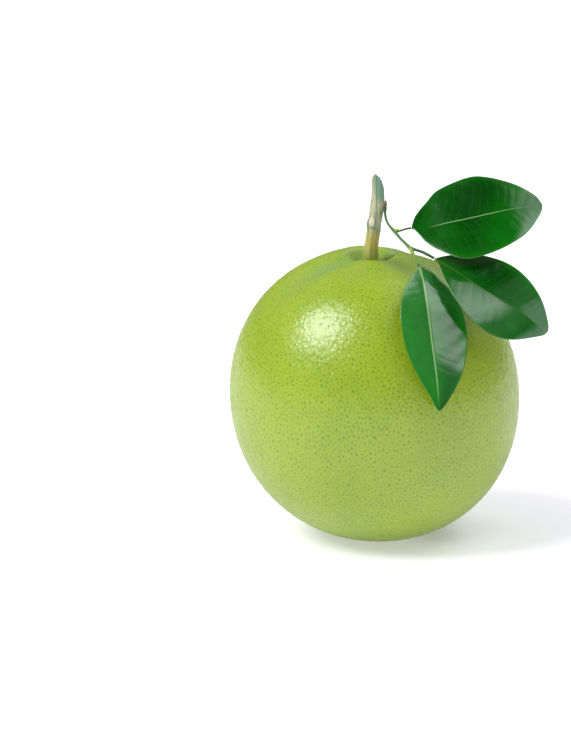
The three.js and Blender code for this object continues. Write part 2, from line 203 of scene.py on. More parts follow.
def fruit_surface(directions):
    """Points of the fruit's surface for unit directions from its middle, and the furrow depth there."""
    radius = FRUIT_RADIUS * np.hypot(directions[:, 0], directions[:, 1])
    azimuth = np.arctan2(directions[:, 1], directions[:, 0])
    above = directions[:, 2] > 0
    below_height = np.maximum(FRUIT_CENTRE_HEIGHT - height_at(radius, SQUARENESS_BELOW), 0)
    height = np.where(above, top_height(radius), below_height)
    x, y = radius * np.cos(azimuth), radius * np.sin(azimuth)
    furrow = np.where(above, furrow_depth(x, y), 0)
    dip = np.where(above, front_dip_depth(x, y), 0)
    arm = np.stack([x, y, height - FRUIT_CENTRE_HEIGHT], 1)
    length = np.linalg.norm(arm, axis=1)
    arm *= ((length - furrow - dip) / length)[:, None]
    outwards = np.hypot(arm[:, 0], arm[:, 1]) / FRUIT_RADIUS
    swell = sum(s["height"] * np.cos(s["waves"] * (azimuth - math.radians(s["peak"]))) for s in SWELLS)
    stretch = 1 + swell * outwards**2 / FRUIT_RADIUS
    points = np.stack([arm[:, 0] * stretch, arm[:, 1] * stretch, arm[:, 2] + FRUIT_CENTRE_HEIGHT], 1)
    points[:, 0] -= LEAN * points[:, 2] / (2 * FRUIT_CENTRE_HEIGHT)
    return points, furrow


def unit(vectors):
    return vectors / np.linalg.norm(vectors, axis=-1, keepdims=True)


def add_object(name, data):
    thing = bpy.data.objects.new(name, data)
    bpy.context.scene.collection.objects.link(thing)
    return thing


def mesh_object(name, points, faces, attributes=None):
    """A smooth mesh from points in mm, with named values for each vertex."""
    mesh = bpy.data.meshes.new(name)
    corners = [[int(corner) for corner in face] for face in faces]
    mesh.from_pydata((np.asarray(points) * MM).tolist(), [], corners)
    mesh.shade_smooth()
    for key, values in (attributes or {}).items():
        layer = mesh.attributes.new(key, "FLOAT", "POINT")
        layer.data.foreach_set("value", np.asarray(values, np.float32))
    return add_object(name, mesh)


def dress(piece, material, node):
    """Puts a piece in the place of its CAD node."""
    piece.data.materials.append(material)
    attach(piece, "root")
    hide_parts(node)


def gland_directions():
    """Evenly but irregularly spread directions: a spiral, shaken, and then eased apart."""
    index = np.arange(GLANDS) + 0.5
    z = 1 - 2 * index / GLANDS
    turn = math.pi * (1 + 5**0.5) * index
    ring = np.sqrt(1 - z * z)
    directions = np.stack([ring * np.cos(turn), ring * np.sin(turn), z], 1)
    spacing = math.sqrt(4 * math.pi / GLANDS * 2 / math.sqrt(3))
    directions = unit(directions + rng.normal(0, GLAND_JITTER * spacing, directions.shape))
    for _ in range(GLAND_EASINGS):
        directions = eased_apart(directions, spacing)
    return directions


def eased_apart(directions, spacing):
    """The directions, each moved away from the neighbours that are too near."""
    tree = kdtree.KDTree(len(directions))
    for i, direction in enumerate(directions):
        tree.insert(direction, i)
    tree.balance()
    moved = directions.copy()
    for i, direction in enumerate(directions):
        near = [j for _, j, _ in tree.find_n(direction, GLAND_NEIGHBOURS) if j != i]
        away = direction - directions[near]
        gap = np.linalg.norm(away, axis=1, keepdims=True)
        missing = np.maximum(0, spacing * GLAND_ROOM - gap)
        moved[i] += GLAND_PUSH * np.sum(away / gap * missing, axis=0)
    return unit(moved)


def hull_faces(directions):
    """Triangles of the net between the directions."""
    net = bmesh.new()
    corners = [net.verts.new(direction) for direction in directions]
    for i, corner in enumerate(corners):
        corner.index = i
    bmesh.ops.convex_hull(net, input=corners)
    faces = np.array([[corner.index for corner in face.verts] for face in net.faces])
    net.free()
    first, second, third = (directions[faces[:, corner]] for corner in range(3))
    normal = np.cross(second - first, third - first)
    inward = np.sum(first * normal, axis=1) < 0
    faces[inward] = faces[inward][:, ::-1]
    return faces


def rind_net(glands):
    """Directions and faces of the rind. The glands come first, then the middles of the edges between them and
    the middles of the triangles."""
    net = hull_faces(glands)
    edges = np.sort(np.concatenate([net[:, [0, 1]], net[:, [1, 2]], net[:, [2, 0]]]), axis=1)
    edges, edge_of = np.unique(edges, axis=0, return_inverse=True)
    edge_of = edge_of.reshape(3, -1).T + len(glands)
    centre_of = np.arange(len(net)) + len(glands) + len(edges)
    directions = np.concatenate([glands, unit(glands[edges].mean(axis=1)), unit(glands[net].mean(axis=1))])
    faces = []
    for corner in range(3):
        before = (corner + 2) % 3
        faces.append(np.stack([net[:, corner], edge_of[:, corner], centre_of], 1))
        faces.append(np.stack([net[:, corner], centre_of, edge_of[:, before]], 1))
    return directions, np.concatenate(faces)


def make_fruit():
    """The rind: a gland at each corner of the net, and low ridges between the glands."""
    glands = gland_directions()
    directions, faces = rind_net(glands)
    points, furrow = fruit_surface(directions)
    middle = np.array([0, 0, FRUIT_CENTRE_HEIGHT])
    strength = np.zeros(len(directions))
    strength[: len(glands)] = rng.uniform(*GLAND_STRENGTH, len(glands))
    ridges = RIDGE_HEIGHT * rng.uniform(*RIDGE_RANGE, len(directions))
    relief = np.where(strength > 0, -GLAND_DEPTH * strength, ridges)
    points += unit(points - middle) * relief[:, None]
    points[:, 2] = np.maximum(points[:, 2], 0)
    x, y = points[:, 0] + LEAN, points[:, 1]
    above = points[:, 2] > FRUIT_CENTRE_HEIGHT
    attributes = {
        "gland": strength,
        "furrow": furrow / FURROW_FULL_DEPTH,
        "hollow": np.where(above, hollow_share(np.hypot(x, y)), 0),
        # where the painted shade of the front furrow lies
        "deep_green": np.where(above, furrow_share(x, y, FRONT_FURROW), 0),
    }
    piece = mesh_object("pomelo_rind", points, faces, attributes)
    dress(piece, rind_material(), "fruit")


def new_material(name, roughness):
    material = bpy.data.materials.new(name)
    material.use_nodes = True
    shader = material.node_tree.nodes["Principled BSDF"]
    shader.inputs["Roughness"].default_value = roughness
    return material, material.node_tree, shader


def srgb(red, green, blue):
    """A linear colour from 0 to 255 values."""
    def linear(value):
        value /= 255
        return value / 12.92 if value <= 0.04045 else ((value + 0.055) / 1.055) ** 2.4
    return (linear(red), linear(green), linear(blue), 1)


def attribute(tree, name):
    node = tree.nodes.new("ShaderNodeAttribute")
    node.attribute_name = name
    return node.outputs["Fac"]


def place_in_part(tree):
    """The place in the part's own frame, in metres."""
    return tree.nodes.new("ShaderNodeTexCoord").outputs["Object"]


def coloured(material, colour):
    """The material, with an output as its base colour."""
    tree = material.node_tree
    tree.links.new(colour, tree.nodes["Principled BSDF"].inputs["Base Color"])
    return material


def ramp(tree, value, low, high):
    """Value mapped softly from low..high to 0..1."""
    node = tree.nodes.new("ShaderNodeMapRange")
    node.interpolation_type = "SMOOTHSTEP"
    node.inputs["From Min"].default_value = low
    node.inputs["From Max"].default_value = high
    tree.links.new(value, node.inputs["Value"])
    return node.outputs["Result"]


def pattern(tree, kind):
    """A mask from 0 to 1 that noise of one kind makes in the part's own frame."""
    place = place_in_part(tree)
    if "stretch" in kind:
        mapping = tree.nodes.new("ShaderNodeMapping")
        mapping.inputs["Scale"].default_value = kind["stretch"]
        tree.links.new(place, mapping.inputs["Vector"])
        place = mapping.outputs["Vector"]
    node = tree.nodes.new("ShaderNodeTexNoise")
    node.inputs["Scale"].default_value = kind["per_metre"]
    node.inputs["Detail"].default_value = NOISE_DETAIL
    node.inputs["Roughness"].default_value = kind.get("roughness", NOISE_ROUGHNESS)
    tree.links.new(place, node.inputs["Vector"])
    return ramp(tree, node.outputs["Fac"], *kind["limits"])


def plug(tree, value, socket):
    """Links an output to the socket, or gives the socket a fixed value."""
    if hasattr(value, "is_linked"):
        tree.links.new(value, socket)
    else:
        socket.default_value = value


def math_node(tree, operation, first, second):
    node = tree.nodes.new("ShaderNodeMath")
    node.operation = operation
    for socket, value in zip(node.inputs, (first, second)):
        plug(tree, value, socket)
    return node.outputs["Value"]


def mix(tree, share, first, second):
    """Colour between first and second. Each may be a colour or an output."""
    node = tree.nodes.new("ShaderNodeMix")
    node.data_type = "RGBA"
    colour_a = next(s for s in node.inputs if s.identifier == "A_Color")
    colour_b = next(s for s in node.inputs if s.identifier == "B_Color")
    factor = next(s for s in node.inputs if s.identifier == "Factor_Float")
    for socket, value in ((factor, share), (colour_a, first), (colour_b, second)):
        plug(tree, value, socket)
    return next(s for s in node.outputs if s.identifier == "Result_Color")


def between(tree, share, colours):
    """Colour between two colours of 0 to 255 values."""
    return mix(tree, share, *[srgb(*colour) for colour in colours])


def tinted(tree, colour, place, tint):
    """The colour with a tint mixed in where place is high, or high within the tint's limits."""
    if "limits" in tint:
        place = ramp(tree, place, *tint["limits"])
    return mix(tree, math_node(tree, "MULTIPLY", place, tint["share"]), colour, srgb(*tint["colour"]))


def blob(tree, middle, radii):
    """1 inside a ball stretched to the radii around a place, both in mm, and 0 outside it."""
    mapping = tree.nodes.new("ShaderNodeMapping")
    mapping.inputs["Location"].default_value = [-m / r for m, r in zip(middle, radii)]
    mapping.inputs["Scale"].default_value = [1 / (r * MM) for r in radii]
    tree.links.new(place_in_part(tree), mapping.inputs["Vector"])
    length = tree.nodes.new("ShaderNodeVectorMath")
    length.operation = "LENGTH"
    tree.links.new(mapping.outputs["Vector"], length.inputs[0])
    return ramp(tree, length.outputs["Value"], 1, BLOB_CORE)


def rind_material():
    """Yellowish green with a paler net between dark glands, painted sheen and shade in the furrows, and
    painted shade in the hollow and along the front furrow.
    """
    material, tree, shader = new_material("rind", RIND_ROUGHNESS)
    shader.inputs["Specular IOR Level"].default_value = RIND_SPECULAR
    colour = between(tree, pattern(tree, RIND_CLOUDS), RIND_GREENS)
    colour = tinted(tree, colour, pattern(tree, RIND_FLECKS), RIND_FLECK_TINT)
    for tint in RIND_TINTS:
        colour = tinted(tree, colour, attribute(tree, tint["place"]), tint)
    hollow = ramp(tree, attribute(tree, "hollow"), *HOLLOW_LIMITS)
    roughness = math_node(tree, "ADD", math_node(tree, "MULTIPLY", hollow, HOLLOW_DULLNESS), RIND_ROUGHNESS)
    tree.links.new(roughness, shader.inputs["Roughness"])
    return coloured(material, colour)


# Leaves
LEAF_THICKNESS = 0.5
LEAF_MARGIN_THICKNESS = 0.25
BLADE_SMOOTHING = 0.07  # share of the length over which the blade follows the midrib's bends
LEAF_ROWS = 200
LEAF_COLUMNS = 96
COLUMN_CROWDING = 1.25  # how much closer the columns stand beside the midrib
LEAF_END_HALF_WIDTH = 0.45
TIP_ROUNDING = 0.02  # share of the length over which the tip closes in a round
TIP_CLOSING = 0.97  # how far it closes
BLUNT_REACH = 0.06  # share of the length over which the tip is blunter than the rest of the outline
MIDRIB_DEPTH = 0.9
MIDRIB_HALF_WIDTH = 1.1
MIDRIB_TAPER = 0.8  # share of its depth that it loses towards the tip
RIB_TAPER = 0.55  # share of its width that the rib on the upper side loses
RIB_RISE = 0.07
RIB_GROOVE = 0.1
WAVE_SHIFT = 2  # radians by which the waves of the left half run ahead
LOWER_RELIEF = 0.6  # share of the upper side's relief that the lower side has
# A leaf's greens are its own colour with painted light and shade in them: they change from base to tip, and a
# patch of painted shade darkens each leaf.
LEAVES = (
    dict(
        name="leaf_upper",
        rib_width=0.54,
        rib_colour=(128, 160, 104),
        rib_shows=(0.1, 0.3),
        rib_fades=(0.95, 0.6),
        base_greens=((0, 64, 2), (3, 84, 6)),
        tip_greens=((1, 88, 3), (4, 108, 8)),
        deep=dict(share=0.55, reach=0.3, across=-0.55, spread=0.6, depth=0.75),
        midrib=(
            (17.7, -16.6, 171.7),
            (26.7, -18.1, 172.2),
            (35.8, -18.9, 174.4),
            (46.9, -18.9, 176.7),
            (59.4, -18.3, 179.4),
            (69.6, -16.2, 181.3),
            (77.3, -13.7, 182.2),
            (86.8, -10.7, 182.6),
        ),
        facing=((-0.18, -0.61, 0.77), (-0.1, -0.7, 0.71)),
        left=dict(width=27.8, peak=0.49, base=2.2, tip=1.35, blunt=2.2),
        right=dict(width=26.7, peak=0.39, base=0.74, tip=1.3, blunt=0.3),
        fold=0.02,
        curl=0.02,
        waves=dict(count=2.5, height=0.2, phase=220),
    ),
    dict(
        name="leaf_right",
        rib_width=0.36,
        rib_colour=(66, 118, 24),
        rib_shows=(0, 0.02),
        rib_fades=(1, 0.8),
        base_greens=((0, 74, 3), (4, 90, 8)),
        tip_greens=((2, 94, 5), (6, 112, 11)),
        deep=dict(share=0.38, reach=0.3, across=-0.7, spread=0.55, depth=0.75),
        midrib=(
            (29.9, -26.2, 156.7),
            (39.6, -34.3, 152.1),
            (52.7, -41.6, 144.5),
            (64.2, -44.2, 137.9),
            (76.8, -43.6, 129.7),
            (85.5, -40.2, 122.7),
            (88.6, -37.3, 120.1),
        ),
        facing=((0.15, -0.57, 0.81), (0.06, -0.99, 0.14)),
        left=dict(width=18.5, peak=0.48, base=1.4, tip=1.0, blunt=0.8),
        right=dict(width=20.0, peak=0.57, base=0.68, tip=0.88, blunt=1.8),
        fold=0.18,
        curl=0.02,
        waves=dict(count=2, height=0.25, phase=200),
    ),
    dict(
        name="leaf_front",
        rib_width=0.75,
        rib_colour=(150, 190, 120),
        rib_shows=(0, 0.02),
        rib_fades=(1, 0.8),
        base_greens=((0, 112, 6), (8, 130, 14)),
        tip_greens=((0, 108, 6), (8, 126, 14)),
        deep=dict(share=0.5, reach=1.2, across=-0.6, spread=0.5, depth=0.62),
        midrib=(
            (21.6, -32.1, 153.8),
            (23.4, -41.6, 147.0),
            (25.1, -52.0, 137.4),
            (26.4, -59.2, 128.0),
            (27.5, -64.7, 119.5),
            (28.9, -69.9, 109.8),
            (30.1, -74.0, 100.5),
            (31.1, -78.1, 87.0),
        ),
        facing=((0.47, -0.33, 0.82), (0.34, -0.94, 0.1)),
        left=dict(width=20.6, peak=0.46, base=1.9, tip=1.1, blunt=0.7),
        right=dict(width=18.0, peak=0.46, base=0.79, tip=0.85, blunt=0.9),
        fold=0.11,
        curl=0.01,
        waves=dict(count=2, height=0.25, phase=110),
    ),
)

# Side veins of a leaf
VEIN_SPACING = 5.2  # along the midrib
VEIN_SLOPE = 0.62  # how far a vein runs along the leaf for each millimetre outwards
VEIN_BEND = 0.012  # and how much it turns towards the tip
VEIN_SHIFT = 0.45  # spacings by which the left veins are off the right ones
VEIN_UNEVENNESS = dict(height=0.12, rate=0.37)
VEIN_WIDTH = 0.3
VEIN_DEPTH = 0.02
VEIN_FOOT = (0.3, 1.5)  # mm from the midrib over which a vein starts
VEIN_END = (0.75, 0.97)  # share of the half width over which it ends
PILLOW_HEIGHT = 0.03  # of the blade between two veins
PILLOW_START = (1, 5)  # mm from the midrib
RIPPLE_HEIGHT = 0.08
RIPPLE_RATES = ((0.5, 0.3), (0.15, 0.4))  # radians for each mm along the leaf and outwards

# Looks of the leaves
LEAF_ROUGHNESS = 0.17
LEAF_SPECULAR = 0.75
LEAF_CLOUDS = dict(per_metre=55, limits=(0.35, 0.65))
# the change from a leaf's base greens to its tip greens is painted light and shade
LEAF_TURN_TO_TIP = (0.3, 0.9)  # shares of the length between the greens of the base and those of the tip
LEAF_FLECKS = dict(per_metre=700, roughness=0.6, limits=(0.45, 0.75))
LEAF_FLECK_TINT = dict(share=0.2, colour=(16, 112, 14))
# the green of the painted shade that darkens a patch of each leaf
LEAF_PAINTED_SHADE_GREEN = (0, 40, 0)
LEAF_VEIN_TINT = dict(share=0.1, colour=(50, 130, 50))
RIB_LIMITS = (0.3, 0.85)
RIB_SHARE = 0.85
UNDERSIDE_GREENS = ((86, 130, 70), (100, 144, 80))
UNDERSIDE_RIB_TINT = dict(share=0.8, colour=(160, 182, 116))
UNDERSIDE_VEIN_TINT = dict(share=0.1, colour=(140, 170, 100))
EDGE_TINTS = (
    # the first is painted light: a brighter green near the margin, as of light shining through the blade; the
    # second is a paler rim
    dict(limits=(0.8, 1.0), share=0.3, colour=(24, 118, 12)),
    dict(limits=(0.985, 1.0), share=0.4, colour=(110, 150, 60)),
)

# Fruit stalk
STALK_SECTIONS = (
    dict(at=(-3.45, 0, 150), radius=4.25),
    dict(at=(-3.8, 0, 156.5), radius=3.85),
    dict(at=(-2.95, -0.1, 164), radius=3.63),
    dict(at=(-2.3, -0.2, 168.4), radius=3.63),
    dict(at=(-2.15, -0.3, 171), radius=3.93),
    dict(at=(-1.4, -0.4, 174), radius=3.45),
    dict(at=(-0.6, -0.5, 180.5), radius=3.6),
    dict(at=(-0.1, -0.7, 185), radius=3.4),
    dict(at=(0.05, -0.8, 192), radius=3.3),
    dict(at=(0.45, -0.9, 203), radius=3.25),
)
CUT_POINT = (0.05, -0.8, 192)
CUT_FACES = (1, 1.73, 1)
STALK_SIDES = 96
STALK_STEPS = 260
SHARP_ANGLE = 40
BARK_WAVES = (
    dict(height=0.1, round=7, along=3, shift=0),
    dict(height=0.06, round=13, along=-5, shift=1),
    dict(height=0.05, round=2, along=40, shift=0),
    dict(height=0.04, round=3, along=95, shift=2),
)
SCARS = (
    dict(at=(-5.2, -2.6, 172.4), height=0.55, reach=2.0),
    dict(at=(2.4, -1.9, 181.2), height=0.7, reach=1.9),
)
SCAR_NARROWNESS = 0.6  # a scar's width as a share of its length along the stalk
BARK_ROUGHNESS = 0.75
BARK_STRIPES = dict(per_metre=900, roughness=0.6, stretch=(1, 1, 0.06), limits=(0.38, 0.62))
BARK_COLOURS = ((118, 146, 112), (196, 190, 154))
BARK_PATCHES = dict(per_metre=260, roughness=0.6, stretch=(1, 1, 0.5), limits=(0.5, 0.7))
BARK_PATCH_TINT = dict(share=0.5, colour=(176, 164, 138))
OLIVE_BELOW = (0.170, 0.164)  # this, TEAL_ABOVE and the limits of FOOT_TINT are heights in metres
OLIVES = ((168, 166, 74), (190, 182, 104))
TEAL_ABOVE = (0.182, 0.187)
TEAL_RIGHT_OF = (-0.0016, -0.0007)  # X in metres
TEAL_TINT = dict(share=0.75, colour=(96, 142, 122))
FOOT_TINT = dict(limits=(0.160, 0.152), share=0.6, colour=(120, 146, 60))
BLOB_CORE = 0.6  # share of a spot's radii inside which it has its full colour
BARK_SPOTS = (
    dict(at=(-3.3, -3.8, 172.4), radii=(2.4, 3, 4.2), colour=(96, 118, 84), share=0.55),
    dict(at=(-3.3, -3.8, 172.9), radii=(1.9, 3, 3.5), colour=(224, 208, 188), share=0.85),
    dict(at=(2.3, -2.8, 182.0), radii=(1.5, 3, 1.8), colour=(196, 166, 142), share=0.8),
    dict(at=(-1.8, -3.8, 162.6), radii=(1.1, 3, 3.4), colour=(186, 146, 84), share=0.6),
    dict(at=(1.2, -2.0, 158.0), radii=(1.2, 4, 14), colour=(104, 118, 40), share=0.6),
)
CUT_ROUGHNESS = 0.6
CUT_GRAIN = dict(per_metre=500, roughness=0.6, stretch=(1, 1, 0.1), limits=(0.35, 0.65))
CUT_COLOURS = ((120, 156, 134), (148, 168, 132))

# Calyx
CALYX_RINGS = 24
CALYX_SEGMENTS = 200
CALYX_THICKNESS = 1.9
SEPAL_EDGE_THICKNESS = 0.8
CALYX_NOTCH_RADIUS = 5.2
SEPAL_LENGTH = 2.6
SEPALS = 5
SEPAL_TURN = 20
RAGGED_WAVES = (dict(height=0.125, count=17, shift=0), dict(height=0.075, count=29, shift=1))
WRINKLE_HEIGHT = 0.12
WRINKLES = 3  # on each sepal
EDGE_DROP = 0.1
GAP = 0.35  # between two pieces
SEPAL_ROUGHNESS = 0.8
SEPAL_MOTTLE = dict(per_metre=600, limits=(0.35, 0.65))
SEPAL_GREENS = ((138, 150, 66), (168, 166, 84))
SEPAL_DRY_FROM = (0.7, 1.0)
SEPAL_DRY_COLOURS = ((134, 118, 52), (186, 164, 76))

# Side shoot
SHOOT_GREEN = (40, 92, 28)
SHOOT_PALE = (82, 130, 46)
SHOOT_YELLOW = (172, 182, 60)
BRANCH_SIDES = 20
SHOOT = dict(
    path=(
        (3.3, -1.95, 181.0),
        (3.9, -2.4, 180.4),
        (3.8, -3.1, 177.9),
        (4.2, -4.4, 174.9),
        (5.6, -7.2, 172.1),
        (8.8, -11.0, 168.8),
        (12.0, -14.8, 165.6),
        (14.6, -17.4, 163.4),
        (17.1, -19.9, 161.2),
    ),
    radii=(0.95, 0.85, 0.7, 0.65, 0.68, 0.85, 0.75, 0.78, 1.05),
    steps=110,
    colours=(SHOOT_GREEN, SHOOT_PALE),
)
LEAF_STALKS = (
    dict(
        path=((8.8, -11.0, 168.8), (11.2, -12.7, 169.4), (14.3, -14.6, 170.7), (17.2, -16.3, 171.5)),
        radii=(0.85, 0.6, 0.55, 0.6),
        steps=60,
        colours=(SHOOT_PALE, SHOOT_GREEN),
    ),
    dict(
        path=(
            (17.1, -19.9, 161.2),
            (20.2, -21.9, 160.7),
            (23.8, -23.6, 159.7),
            (26.8, -24.9, 158.3),
            (29.4, -25.9, 157.0),
        ),
        radii=(1.05, 0.78, 0.78, 0.75, 0.7),
        steps=60,
        colours=(SHOOT_GREEN, SHOOT_GREEN),
    ),
    dict(
        path=((17.1, -19.9, 161.2), (18.2, -23.5, 159.4), (19.5, -27.4, 157.1), (21.2, -31.3, 154.3)),
        radii=(1.05, 0.85, 0.62, 0.6),
        steps=60,
        colours=(SHOOT_YELLOW, SHOOT_PALE),
    ),
)
BUDS = (
    dict(at=(8.7, -11.2, 169.7), towards=(0.83, -0.5, 0.12), length=3.0, radius=0.75, colour=(190, 190, 20)),
    dict(at=(17.9, -21.0, 161.0), towards=(0.35, -0.6, -0.72), length=2.6, radius=0.7, colour=(190, 140, 90)),
    dict(at=(4.1, -2.45, 180.7), towards=(0.03, -0.06, 1), length=4.2, radius=0.75, colour=(150, 100, 50)),
)
BUD_ROWS = 24
BUD_SIDES = 20
BUD_FULLNESS = 0.7  # below 1 moves the widest place towards the bud's foot
BUD_SCALES = dict(height=0.14, count=3, twist=9)
BUD_END_RADIUS = 0.02
SHOOT_ROUGHNESS = 0.5
SHOOT_STREAKS = dict(per_metre=900, limits=(0.35, 0.7))
SHOOT_STREAK_TINT = dict(share=0.35, colour=(30, 74, 30))

CURVE_STEPS = 60  # between two points of a curve
TUBE_ASIDE = (0.3, 0.5, 0.8)  # any direction that the start of a tube doesn't run along
BUD_ASIDE = (0.2, 0.4, 0.9)  # and one that no bud points along


class Curve:
    """A smooth curve through points, as shares of its length."""

    def __init__(self, points):
        points = np.array(points, float)
        ends = np.vstack([2 * points[0] - points[1], points, 2 * points[-1] - points[-2]])
        pieces = [points[:1]]
        for i in range(len(points) - 1):
            pieces.append(self.piece(*ends[i : i + 4])[1:])
        self.points = np.vstack(pieces)
        lengths = np.linalg.norm(np.diff(self.points, axis=0), axis=1)
        run = np.concatenate([[0], np.cumsum(lengths)])
        self.length = run[-1]
        self.shares = run / run[-1]
        self.knots = self.shares[::CURVE_STEPS]

    @staticmethod
    def piece(before, start, end, after):
        """Points of the piece between start and end, with the points next to them steering it."""
        first, middle, last = [
            np.linalg.norm(b - a) ** 0.5 for a, b in ((before, start), (start, end), (end, after))
        ]
        leave = (start - before) / first - (end - before) / (first + middle) + (end - start) / middle
        arrive = (end - start) / middle - (after - start) / (middle + last) + (after - end) / last
        leave, arrive = leave * middle, arrive * middle
        t = np.linspace(0, 1, CURVE_STEPS + 1)[:, None]
        return (
            start
            + leave * t
            + (3 * (end - start) - 2 * leave - arrive) * t**2
            + (2 * (start - end) + leave + arrive) * t**3
        )

    def at(self, shares):
        return np.stack([np.interp(shares, self.shares, self.points[:, k]) for k in range(3)], -1)

    def along(self, shares, step=0.004):
        return unit(self.at(np.minimum(shares + step, 1)) - self.at(np.maximum(shares - step, 0)))


def grid_faces(rows, columns, start=0, closed=False, flip=False):
    """Faces of a grid of points, row by row. A closed grid joins its last column to its first."""
    across = columns if closed else columns - 1
    row, column = np.meshgrid(np.arange(rows - 1), np.arange(across), indexing="ij")
    after = (column + 1) % columns
    this_row, next_row = row * columns, (row + 1) * columns
    quads = np.stack([this_row + column, this_row + after, next_row + after, next_row + column], -1)
    quads = quads.reshape(-1, 4)
    return (quads[:, ::-1] if flip else quads) + start


def tube(path, radii, sides, steps, bulge=None):
    """A closed tube along a path. bulge gives an added radius for shares of the length and turns.
    Returns the points, the faces, and each point's share of the length."""
    curve = Curve(path)
    shares = np.linspace(0, 1, steps + 1)
    centres, along = curve.at(shares), curve.along(shares)
    normal = np.cross(along[0], TUBE_ASIDE)
    frames = []
    for direction in along:
        normal = unit(normal - np.dot(normal, direction) * direction)
        frames.append((normal, np.cross(direction, normal)))
    frames = np.array(frames)
    turn = 2 * math.pi * np.arange(sides) / sides
    radius = np.interp(shares, curve.knots, radii)[:, None] + np.zeros(sides)
    if bulge:
        radius = radius + bulge(shares[:, None], turn[None, :])
    out = np.cos(turn)[None, :, None] * frames[:, None, 0] + np.sin(turn)[None, :, None] * frames[:, None, 1]
    points = centres[:, None] + out * radius[..., None]
    points = np.vstack([points.reshape(-1, 3), centres[:1], centres[-1:]])
    faces = grid_faces(steps + 1, sides, closed=True).tolist()
    first, last = len(points) - 2, len(points) - 1
    for j in range(sides):
        after = (j + 1) % sides
        faces.append((first, after, j))
        faces.append((last, steps * sides + j, steps * sides + after))
    return points, faces, np.concatenate([np.repeat(shares, sides), [0, 1]])


def half_width(share, side):
    """Half width of a blade in mm at shares of its length."""
    rise = np.clip(1 - ((side["peak"] - share) / side["peak"]) ** 2, 0, 1) ** (1 / side["base"])
    fall = np.clip(1 - ((share - side["peak"]) / (1 - side["peak"])) ** 2, 0, 1) ** (1 / side["tip"])
    outline = side["width"] * np.where(share < side["peak"], rise, fall)
    outline = outline + side["blunt"] * np.exp(-(((1 - share) / BLUNT_REACH) ** 2))
    to_tip = np.clip((1 - share) / TIP_ROUNDING, 0, 1)
    return np.clip(outline, LEAF_END_HALF_WIDTH, None) * np.sqrt(1 - (1 - to_tip) ** 2 * TIP_CLOSING)


def vein_relief(length, share, column, distance):
    """How much of a side vein each place of a blade holds, and the height in mm of what is between the
    veins. distance is that from the midrib, in mm."""
    out = np.abs(column)
    origin = share * length - distance * VEIN_SLOPE + VEIN_BEND * distance**2
    unevenness = VEIN_UNEVENNESS["height"] * np.sin(origin * VEIN_UNEVENNESS["rate"])
    phase = origin / VEIN_SPACING + np.where(column < 0, VEIN_SHIFT, 0) + unevenness
    to_vein = np.abs((phase % 1) - 0.5) * 2
    from_vein = (1 - to_vein) * VEIN_SPACING * 0.5
    vein = np.exp(-((from_vein / VEIN_WIDTH) ** 2)) * (1 - smooth_step(*VEIN_END, out))
    vein = vein * smooth_step(*VEIN_FOOT, distance)
    pillow = PILLOW_HEIGHT * (np.cos(math.pi * to_vein) * 0.5 + 0.5)
    pillow = pillow * smooth_step(*PILLOW_START, distance) * (1 - out**4)
    ripple = RIPPLE_HEIGHT
    for along_rate, outward_rate in RIPPLE_RATES:
        ripple = ripple * np.sin(along_rate * origin + outward_rate * distance)
    return vein, pillow + ripple * out


def blade_lift(leaf, share, column, width):
    """Height in mm of the blade's middle above the midrib: its fold, its curl and its waves."""
    out = np.abs(column)
    waves = leaf["waves"]
    turn = 2 * math.pi * waves["count"] * share + math.radians(waves["phase"])
    wave = np.sin(turn + np.where(column < 0, WAVE_SHIFT, 0))
    side_width = np.where(column < 0, leaf["left"]["width"], leaf["right"]["width"])
    bend = (leaf["fold"] * out - leaf["curl"] * out**3) * width
    return bend + waves["height"] * wave * out**2 * width / side_width


def blade_faces():
    """Faces of the upper side of a blade, of its lower side, and of the strips that join them all round."""
    rows, columns = LEAF_ROWS + 1, LEAF_COLUMNS + 1
    below = rows * columns
    left = np.arange(rows - 1) * columns
    right = left + columns - 1
    base = np.arange(columns - 1)
    tip = base + (rows - 1) * columns
    faces = [grid_faces(rows, columns), grid_faces(rows, columns, below, flip=True)]
    for start, end in ((left, left + columns), (right + columns, right), (base + 1, base), (tip, tip + 1)):
        faces.append(np.stack([start, end, end + below, start + below], 1))
    return np.concatenate(faces)


